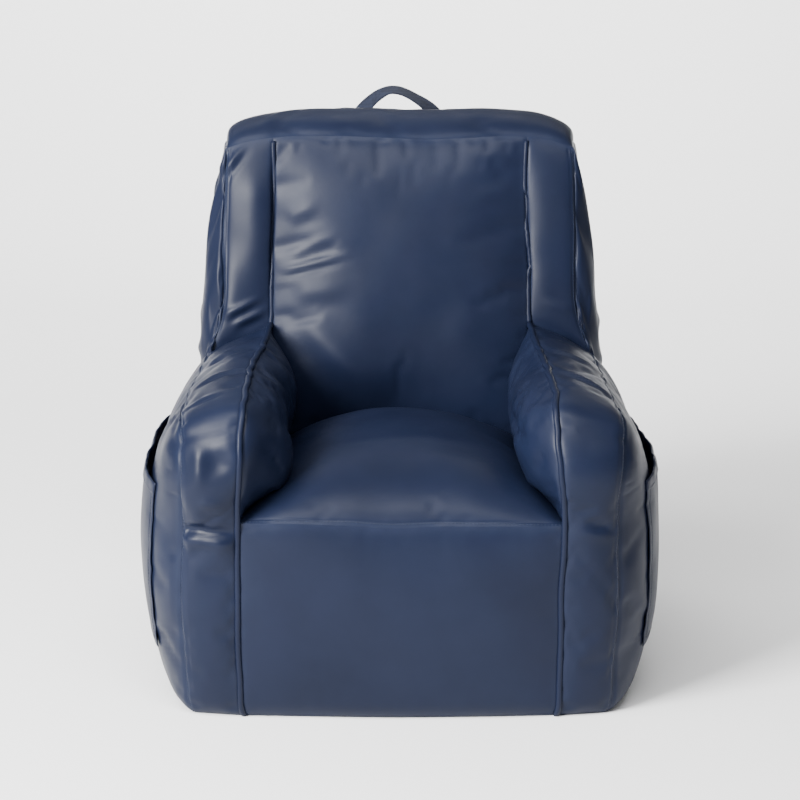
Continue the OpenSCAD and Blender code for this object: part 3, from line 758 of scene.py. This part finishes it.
def make_pocket(panel, name, side):
    """One pocket's cloth, the hem round its mouth, and the stitching on both."""
    point = pocket_surface(panel, side)
    s = fine_steps(POCKET_LONG, 5)[::side]
    t = np.concatenate([fine_steps(POCKET_TALL, 5)[:-6], [1.01, 1.04]])
    ss, tt = np.meshgrid(s, t)
    border = np.minimum(np.minimum(ss, 1 - ss) * POCKET_LONG, tt * POCKET_TALL)
    turned = 0.7 * np.exp(-(border / 8) ** 4) - 0.5 * np.exp(-((border - 9) / 1.2) ** 2)
    grid = point(ss, tt, turned)
    cloth = make_mesh(name + "_pocket_cloth", grid, grid_faces(*grid.shape[:2]))
    hem_t, hem_off = (np.array(x) for x in zip(*HEM_PROFILE))
    hem_s = np.linspace(0, 1, 90)[::side]
    rings = [point(np.full(len(hem_t), x), hem_t, hem_off + 0.25 * np.sin(60 * x) * hem_t)
             for x in hem_s]
    hem = closed_tube(name + "_pocket_binding", np.array(rings)[:, ::side])
    long = np.linspace(0.03, 0.97, LINE_STEPS)
    tall = np.linspace(0.03, 0.9, LINE_STEPS)
    outline = [(long, np.full(LINE_STEPS, 0.935), 1.75)]
    for inset in TWIN:
        end = np.full(LINE_STEPS, inset / POCKET_LONG)
        foot = np.full(LINE_STEPS, inset / POCKET_TALL)
        outline += [(end, tall, 0.9), (1 - end, tall, 0.9), (long, foot, 0.9)]
    rows = []
    for a, b, off in outline:
        here, above = point(a, b, off), point(a, b, off + 1)
        rows.append((here, above - here))
    return cloth, hem, stitches(name + "_pocket_stitches", rows)


# ---- carry handle
HINGE = np.array([0, 296.5, 739.0])
STRAP_HALF = 15.0        # half the width of the webbing
STRAP_T = 2.2            # its thickness
RIB_PITCH, RIB_HEIGHT = 2.2, 0.16     # of its weave
# Centre line of the webbing from one sewn end to the other, as x, height above the hinge
# and the half width that faces forward there; the rest of its width lies front to back.
STRAP = [
    (-66, -12, 12.5), (-65, -2, 12), (-60, 9, 11), (-52, 20, 9.5), (-42, 30, 8), (-30, 38.5, 7),
    (-17, 44, 5.5), (-4, 44, 5.5), (10, 39.5, 5.5), (24, 32, 6), (38, 23, 7.5), (50, 12, 9.5),
    (57, 0, 11.5), (58, -12, 12),
]
STRAP_ROWS, STRAP_COLS = 260, 14


def strap():
    """The webbing of the handle: a flat ribbon that turns on edge over the top of its loop."""
    path = spline(STRAP, np.linspace(0, len(STRAP) - 1, STRAP_ROWS))
    centre = np.stack([path[:, 0], np.zeros(STRAP_ROWS), path[:, 1]], axis=-1) + HINGE
    way = unit(np.gradient(centre, axis=0))
    outward = np.cross((0, 1, 0), way)
    outward *= np.sign(outward[STRAP_ROWS // 2, 2])
    deep = np.sqrt(np.maximum(STRAP_HALF ** 2 - path[:, 2] ** 2, 0))
    wide = outward * path[:, 2:] + np.array((0, 1, 0)) * deep[:, None] * 0.9
    face = unit(np.cross(way, wide))
    run = np.concatenate([[0], np.cumsum(np.linalg.norm(np.diff(centre, axis=0), axis=1))])
    over = np.linspace(-1, 1, STRAP_COLS)
    over = np.concatenate([over, over[::-1]])
    half = STRAP_T / 2 * np.where(np.abs(over) > 0.93, 0.45, 1.0)
    half = half * np.where(np.arange(2 * STRAP_COLS) < STRAP_COLS, 1, -1)
    rings = []
    for c, w, f, r in zip(centre, wide, face, run):
        rib = RIB_HEIGHT * np.sin(2 * math.pi * (r / RIB_PITCH + 1.5 * np.abs(over)))
        off = half + np.sign(half) * rib
        rings.append(c + over[:, None] * w + off[:, None] * f)
    return closed_tube("handle_webbing", rings)


# ---- zip
ZIP_UP = unit(ZIP_HIGH - ZIP_LOW)
ZIP_OUT = np.cross(ZIP_UP, (1, 0, 0))
TAPE_FACE = 0.4          # from the middle of the tapes to their outer face
ZIP_LEN = 2 * (ZIP_HALF - 16)     # length of the teeth
COIL_PITCH = 2.5
COIL_WIRE = 0.38         # half the thickness of its wire
COIL_FROM_FACE, COIL_DEEP = 0.85, 0.4     # its middle above the tapes, and half its depth
COIL_FROM_MIDDLE, COIL_WIDE = 1.9, 1.0    # the same from the zip's middle, and across it
COIL_STEPS = 10          # points in a turn


def zip_point(x, out, up):
    """A point in the zip's own frame: along it, out of the tapes' face, and up the panel."""
    return ZIP_MID + x * np.array((1, 0, 0)) + (out + TAPE_FACE) * ZIP_OUT + up * ZIP_UP


def coil(name, side):
    """One row of nylon coil, wound along the tape's edge; side is 1 for the upper row."""
    turns = int(ZIP_LEN / COIL_PITCH)
    s = np.arange(turns * COIL_STEPS + 1) / COIL_STEPS
    turn = 2 * math.pi * s
    x = (s - turns / 2 + 0.25 * side) * COIL_PITCH
    line = np.array([zip_point(a, COIL_FROM_FACE + COIL_DEEP * math.sin(b),
                               side * (COIL_FROM_MIDDLE + COIL_WIDE * math.cos(b)))
                     for a, b in zip(x, turn)])
    way = unit(np.gradient(line, axis=0))
    one = unit(np.cross(way, ZIP_OUT))
    two = np.cross(way, one)
    rings = [[p + COIL_WIRE * (a * u + b * v) for a, b in circle(5)]
             for p, u, v in zip(line, one, two)]
    return closed_tube(name, rings)


def zip_block(name, low, high, bevel):
    """A rounded block between two corners in the zip's frame."""
    corners = [zip_point(*[(low, high)[(k >> axis) & 1][axis] for axis in range(3)])
               for k in range(8)]
    faces = [(0, 2, 3, 1), (4, 5, 7, 6), (0, 1, 5, 4), (2, 6, 7, 3), (0, 4, 6, 2), (1, 3, 7, 5)]
    obj = make_mesh(name, corners, faces)
    edge = obj.modifiers.new("bevel", "BEVEL")
    edge.width = bevel * 0.001
    edge.segments = 3
    return obj


# Parts of the slider: two opposite corners of each, from its middle, and how rounded it is.
SLIDER = {
    "plate": ((-5.5, 1.9, -4.2), (5.5, 3.0, 4.2), 0.5),
    "under": ((-5.5, -2.3, -4.2), (5.5, -1.2, 4.2), 0.4),
    "post": ((2.4, -1.7, -0.35), (5.1, 2.4, 0.35), 0.15),
    "lip_high": ((-5.3, 0.6, 3.35), (4.6, 2.4, 4.2), 0.25),
    "lip_low": ((-5.3, 0.6, -4.2), (4.6, 2.4, -3.35), 0.25),
    "bridge_foot": ((-3.2, 2.8, -0.9), (-1.9, 4.2, 0.9), 0.3),
    "bridge_head": ((1.9, 2.8, -0.9), (3.2, 4.2, 0.9), 0.3),
    "bridge": ((-3.2, 3.7, -1.1), (3.2, 4.6, 1.1), 0.4),
}


def slider():
    """The slider, at the end of the teeth where the zip is closed."""
    middle = (ZIP_LEN / 2 - 6.5, 0, 0)
    parts = [zip_block(name, np.add(middle, low), np.add(middle, high), bevel)
             for name, (low, high, bevel) in SLIDER.items()]
    return joined("zip_slider_body", parts)


def zip_stop(side):
    x = side * (ZIP_LEN / 2 + 1.8)
    return zip_block("stop", (x - 1.2, 0.1, -3.2), (x + 1.2, 1.8, 3.2), 0.35)


def window_stitches(panel):
    """Topstitching round the zip's window, on the rear panel."""
    rows, cols = zip_window(panel.grid)
    j0, j1, i0, i1 = rows[0] - 1, rows[1] + 1, cols[0] - 1, cols[1] + 1
    inside = np.s_[i0:i1 + 1]
    lines = [np.s_[j0, inside], np.s_[j1, inside], np.s_[j0:j1 + 1, i0], np.s_[j0:j1 + 1, i1]]
    return [(panel.grid[x], panel.normals[x]) for x in lines]


# ---- care label and base
def label():
    """A blank satin label, folded double, sewn into the left rear seam."""
    low, high = (np.array(c) * 1000 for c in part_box("care_label"))
    tall = high[2] - low[2]
    foot = np.array([high[0], low[1], low[2]])
    reach = math.hypot(high[0] - low[0], high[1] - low[1])
    way = unit(np.array([low[0] - high[0], high[1] - low[1], 0.0]))
    side = np.array([way[1], -way[0], 0.0])
    profile = [(k / 12, 0.55) for k in range(12)] + [(1.01, 0.4), (1.025, 0), (1.01, -0.4)]
    profile += [(1 - k / 12, -0.55) for k in range(1, 13)]
    grid = [[foot + way * reach * a + side * (b + 1.2 * a * a * math.sin(2.5 * v + 0.4))
             + np.array([0, 0, tall * v]) for a, b in profile] for v in np.linspace(0, 1, 15)]
    obj = make_mesh("blank_care_label", grid, grid_faces(15, len(profile)))
    solid(obj, 0.25, 0)
    return obj


def floor_outline(count):
    """Points round the chair's foot, anticlockwise seen from above."""
    t = np.linspace(0, 1, count, endpoint=False)
    edges = [whole(FRONT_FLOOR), whole(BAND_FLOOR), whole(SIDE_FLOOR), stretch(REAR_FLOOR, 4, 0),
             flip([(SIDE_FLOOR, 2, 0)]), flip([(BAND_FLOOR, 1, 0)])]
    return np.concatenate([at(e, t) for e in edges])


# The base's turned edge: distances in from the chair's outline, and heights.
BASE_EDGE = ((17, 0.0), (15.2, 0.5), (15, 1.2), (15.4, 2.0), (17, 2.4), (25, 2.2), (60, 1.6))


def base():
    """The non-woven base panel: a flat sheet with a turned edge, just inside the cover."""
    outline = floor_outline(24)
    rings = [outline * share for share in (0.02, 0.3, 0.6)]
    for inset, height in BASE_EDGE:
        rings.append(outline - inset * unit(outline) + np.array([0, 0, height]))
    for share in (0.6, 0.3, 0.02):
        rings.append(outline * share + np.array([0, 0, BASE_EDGE[-1][1]]))
    return closed_tube("base_cloth", rings)


# ---- materials
def feed(tree, n, inputs):
    """Sets a node's inputs, to numbers or to the outputs of other nodes."""
    for key, value in inputs.items():
        if isinstance(value, bpy.types.NodeSocket):
            tree.links.new(value, n.inputs[key])
        else:
            n.inputs[key].default_value = value


def node(tree, kind, inputs, **settings):
    n = tree.nodes.new(kind)
    for key, value in settings.items():
        setattr(n, key, value)
    feed(tree, n, inputs)
    return n


def new_material(name):
    """A material, its nodes, and the position on the object that its textures use."""
    mat = bpy.data.materials.new(name)
    mat.use_nodes = True
    tree = mat.node_tree
    return mat, tree, tree.nodes.new("ShaderNodeTexCoord").outputs["Object"]


def finish(mat, inputs):
    feed(mat.node_tree, mat.node_tree.nodes["Principled BSDF"], inputs)
    return mat


def clouds(tree, coords, scale, detail=2.0, distortion=0.0):
    inputs = {"Vector": coords, "Scale": scale, "Detail": detail, "Distortion": distortion}
    return node(tree, "ShaderNodeTexNoise", inputs).outputs["Fac"]


def colour_ramp(tree, fac, low, high, start=0.32, stop=0.68):
    ramp = node(tree, "ShaderNodeValToRGB", {"Fac": fac})
    for element, where, colour in zip(ramp.color_ramp.elements, (start, stop), (low, high)):
        element.position = where
        element.color = (*colour, 1)
    return ramp.outputs["Color"]


def spread(tree, value, low, high):
    """A noise value from about 0.3 to 0.7 stretched to run from low to high."""
    inputs = {"Value": value, "From Min": 0.3, "From Max": 0.7, "To Min": low, "To Max": high}
    return node(tree, "ShaderNodeMapRange", inputs).outputs["Result"]


def product(tree, one, two):
    inputs = {0: one, 1: two}
    return node(tree, "ShaderNodeMath", inputs, operation="MULTIPLY").outputs["Value"]


def bumps(tree, layers):
    """Bumps one on another: layers is [(height socket, strength, distance), ...]."""
    inputs = {}
    for height, strength, distance in layers:
        inputs.update({"Height": height, "Strength": strength, "Distance": distance})
        inputs["Normal"] = node(tree, "ShaderNodeBump", inputs).outputs["Normal"]
    return inputs["Normal"]


def leather():
    """Navy faux leather: fine pebbled grain, soft creases, paler where it wears."""
    mat, tree, coords = new_material("navy_faux_leather")
    wear = node(tree, "ShaderNodeAttribute", {}, attribute_name="wear").outputs["Fac"]
    mix = node(tree, "ShaderNodeMixRGB", {
        "Fac": product(tree, wear, clouds(tree, coords, 46.0, 6.0)),
        "Color1": colour_ramp(tree, clouds(tree, coords, 7.0, 4.0), LEATHER_DARK, LEATHER_LIGHT),
        "Color2": (*LEATHER_WORN, 1),
    })
    grain = node(tree, "ShaderNodeTexVoronoi", {"Vector": coords, "Scale": 620.0},
                 feature="DISTANCE_TO_EDGE")
    creases = clouds(tree, coords, 52.0, 7.0, 0.6)
    return finish(mat, {
        "Base Color": mix.outputs["Color"],
        "Roughness": spread(tree, clouds(tree, coords, 13.0, 5.0), 0.37, 0.48),
        "Normal": bumps(tree, [(grain.outputs["Distance"], 0.2, 0.0004),
                               (creases, 0.10, 0.0012)]),
        "Specular IOR Level": 0.13,
        "Coat Weight": 0.01,
        "Coat Roughness": 0.3,
    })


def woven(name, dark, light, threads, roughness=0.85, strength=0.6):
    """Plain-woven cloth: two crossed sets of threads, threads to a metre."""
    mat, tree, coords = new_material(name)
    wave = {"Vector": coords, "Scale": threads / 6.28, "Distortion": 0.4}
    sets = [node(tree, "ShaderNodeTexWave", wave, bands_direction=way).outputs["Fac"]
            for way in ("X", "Z")]
    shade = clouds(tree, coords, 160.0, 5.0)
    return finish(mat, {
        "Base Color": colour_ramp(tree, shade, dark, light),
        "Roughness": spread(tree, shade, roughness - 0.06, roughness + 0.06),
        "Normal": bumps(tree, [(product(tree, *sets), strength, 0.0006),
                               (shade, 0.15, 0.0005)]),
        "Sheen Weight": 0.06,
        "Specular IOR Level": 0.15,
    })


def beads():
    """Expanded polystyrene beads packed together, with painted shade in the gaps between them."""
    mat, tree, coords = new_material("polystyrene_beads")
    cells = node(tree, "ShaderNodeTexVoronoi", {"Vector": coords, "Scale": 260.0})
    cells = cells.outputs["Distance"]
    return finish(mat, {
        # Base colour pale at each bead's middle and grey towards its edge: painted shade in the gaps
        # between beads.
        "Base Color": colour_ramp(tree, cells, (0.84, 0.85, 0.86), (0.5, 0.51, 0.53), 0.1, 0.8),
        "Roughness": spread(tree, clouds(tree, coords, 90.0), 0.6, 0.8),
        "Normal": bumps(tree, [(cells, -1.0, 0.003)]),
    })


def coated(name, dark, light, roughness, metallic):
    """Moulded nylon or coated metal, with faint scuffs."""
    mat, tree, coords = new_material(name)
    scuffs = clouds(tree, coords, 900.0, 6.0)
    return finish(mat, {
        "Base Color": colour_ramp(tree, scuffs, dark, light),
        "Roughness": spread(tree, scuffs, roughness - 0.08, roughness + 0.08),
        "Normal": bumps(tree, [(scuffs, 0.2, 0.0002)]),
        "Metallic": metallic,
    })


LEATHER_DARK = (0.0042, 0.0066, 0.0182)
LEATHER_LIGHT = (0.0060, 0.0092, 0.0240)
LEATHER_WORN = (0.0115, 0.0165, 0.0370)
LEATHER = leather()
THREAD = woven("navy_thread", (0.011, 0.016, 0.034), (0.019, 0.027, 0.054), 2600, 0.6, 0.4)
WEBBING = woven("navy_webbing", (0.007, 0.009, 0.018), (0.014, 0.018, 0.034), 900, 0.85)
TAPE = woven("zip_tape", (0.012, 0.015, 0.028), (0.022, 0.027, 0.046), 1500)
LINING = woven("black_lining", (0.012, 0.013, 0.015), (0.024, 0.025, 0.028), 1800, 0.9)
NONWOVEN = woven("black_non_woven", (0.012, 0.012, 0.014), (0.03, 0.03, 0.033), 350, 0.95, 0.9)
SATIN = woven("label_satin", (0.62, 0.62, 0.58), (0.72, 0.72, 0.68), 3000, 0.45, 0.3)
BEADS = beads()
NYLON = coated("nylon_teeth", (0.010, 0.011, 0.014), (0.020, 0.022, 0.027), 0.42, 0.0)
METAL = coated("coated_zinc", (0.03, 0.032, 0.036), (0.07, 0.073, 0.08), 0.38, 0.9)


# ---- putting the pieces in
def solid(obj, thickness, offset=-1):
    """Gives a sheet its thickness in mm, inwards unless offset says otherwise."""
    thick = obj.modifiers.new("thickness", "SOLIDIFY")
    thick.thickness = thickness * 0.001
    thick.offset = offset


def place(obj, material, nodes=(), body="root"):
    """Gives a piece its material and body, and hides the CAD nodes that it stands for."""
    obj.data.materials.append(material)
    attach(obj, body)
    if nodes:
        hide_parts(*nodes)
    return obj


def paint(nodes, material):
    """Gives CAD nodes that stay visible their finish."""
    for name in nodes:
        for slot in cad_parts[name].material_slots:
            slot.material = material


def cover_panel(name, panel):
    rows, cols = panel.grid.shape[:2]
    faces = grid_faces(rows, cols)
    if name == "rear_panel":
        (j0, j1), (i0, i1) = zip_window(panel.grid)
        faces = [f for k, f in enumerate(faces)
                 if not (j0 <= k // (cols - 1) < j1 and i0 <= k % (cols - 1) < i1)]
    obj = make_mesh("cover." + name, panel.grid, faces)
    wear = obj.data.attributes.new("wear", "FLOAT", "POINT")
    amount = 0.75 * np.exp(-(panel.near_seam / 9) ** 2) + 0.12
    wear.data.foreach_set("value", amount.reshape(-1).astype(np.float32))
    solid(obj, CLOTH)
    place(obj, LEATHER, [name])
    return obj


panels = make_panels()
for name, panel in panels.items():
    cover_panel(name, panel)
    rows = [stitch_row(panel, edge, distance)
            for edge, found in stitched_edges(name).items() for distance in found]
    if name == "rear_panel":
        rows += window_stitches(panel)
    if rows:
        place(stitches("stitches." + name, rows), THREAD)

for side, name in ((-1, "left"), (1, "right")):
    place(welt(name, side), LEATHER, [name + "_seam_cord"])
    cloth, hem, thread = make_pocket(panels[name + "_outer_side_panel"], name, side)
    solid(cloth, CLOTH, 0)
    place(cloth, LEATHER, [name + "_pocket"])
    place(hem, LEATHER, [name + "_pocket_hem"])
    place(thread, THREAD)

handle = strap()
handle.data.materials.append(WEBBING)
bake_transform(handle)
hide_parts("handle_loop")

for name, side in (("upper", 1), ("lower", -1)):
    place(coil(f"zip_{name}_teeth", side), NYLON, [f"zip_{name}_coil"])
place(slider(), METAL, ["zip_slider"], "slider")
place(joined("zip_end_stops", [zip_stop(-1), zip_stop(1)]), METAL, ["zip_stops"])
tag = place(label(), SATIN, ["care_label"])
place(base(), NONWOVEN, ["base_panel"])

paint(["seat_bead_fill", "back_bead_fill", "left_arm_bead_fill", "right_arm_bead_fill"], BEADS)
paint(["left_arm_baffle", "right_arm_baffle", "back_baffle", "zip_guard_flap"], LINING)
paint(["handle_left_tail", "handle_right_tail"], WEBBING)
paint(["zip_upper_tape", "zip_lower_tape"], TAPE)


# ---- stage, lights, camera
def stage():
    """A pale floor that curves up into a plain backdrop."""
    floor_y, wall_y, radius, half, top = -4.0, 4.2, 1.2, 7.0, 1.35
    profile = [(floor_y, 0.0)]
    for a in math.pi / 2 * np.arange(13) / 12:
        profile.append((wall_y - radius + radius * math.sin(a), radius - radius * math.cos(a)))
    profile.append((wall_y, top))
    verts = [(x * 1000, y * 1000, z * 1000) for y, z in profile for x in (-half, half)]
    obj = make_mesh("stage", verts, grid_faces(len(profile), 2))
    white = bpy.data.materials.new("stage_white")
    white.use_nodes = True
    obj.data.materials.append(finish(white, {"Base Color": (0.94, 0.94, 0.94, 1), "Roughness": 0.9}))


def area_light(name, place_at, target, size, power):
    light = bpy.data.lights.new(name, "AREA")
    light.shape = "RECTANGLE"
    light.size, light.size_y = size
    light.energy = power
    obj = bpy.data.objects.new(name, light)
    obj.location = place_at
    obj.rotation_euler = (Vector(target) - Vector(place_at)).to_track_quat("-Z", "Y").to_euler()
    scene.collection.objects.link(obj)


stage()
area_light("key", (-2.4, -2.45, 2.1), (0, 0, 0.4), (1.4, 1.8), 530)
area_light("front", (-0.3, -1.3, 2.9), (0, -0.5, 0), (3.0, 0.8), 105)
area_light("wall", (0, 2.2, 3.0), (0, 4.2, 0.9), (5.0, 0.8), 240)
world = bpy.data.worlds.new("soft")
world.use_nodes = True
feed(world.node_tree, world.node_tree.nodes["Background"],
     {"Color": (1, 1, 1, 1), "Strength": 0.36})
scene.world = world

VIEW_UP = math.radians(12)
DISTANCE = 3.0
AIM = Vector((0, 0, 0.36))
camera = bpy.data.objects.new("camera", bpy.data.cameras.new("camera"))
camera.data.lens = 93.9
camera.location = AIM + DISTANCE * Vector((0, -math.cos(VIEW_UP), math.sin(VIEW_UP)))
camera.rotation_euler = (AIM - camera.location).to_track_quat("-Z", "Y").to_euler()
scene.collection.objects.link(camera)
scene.camera = camera
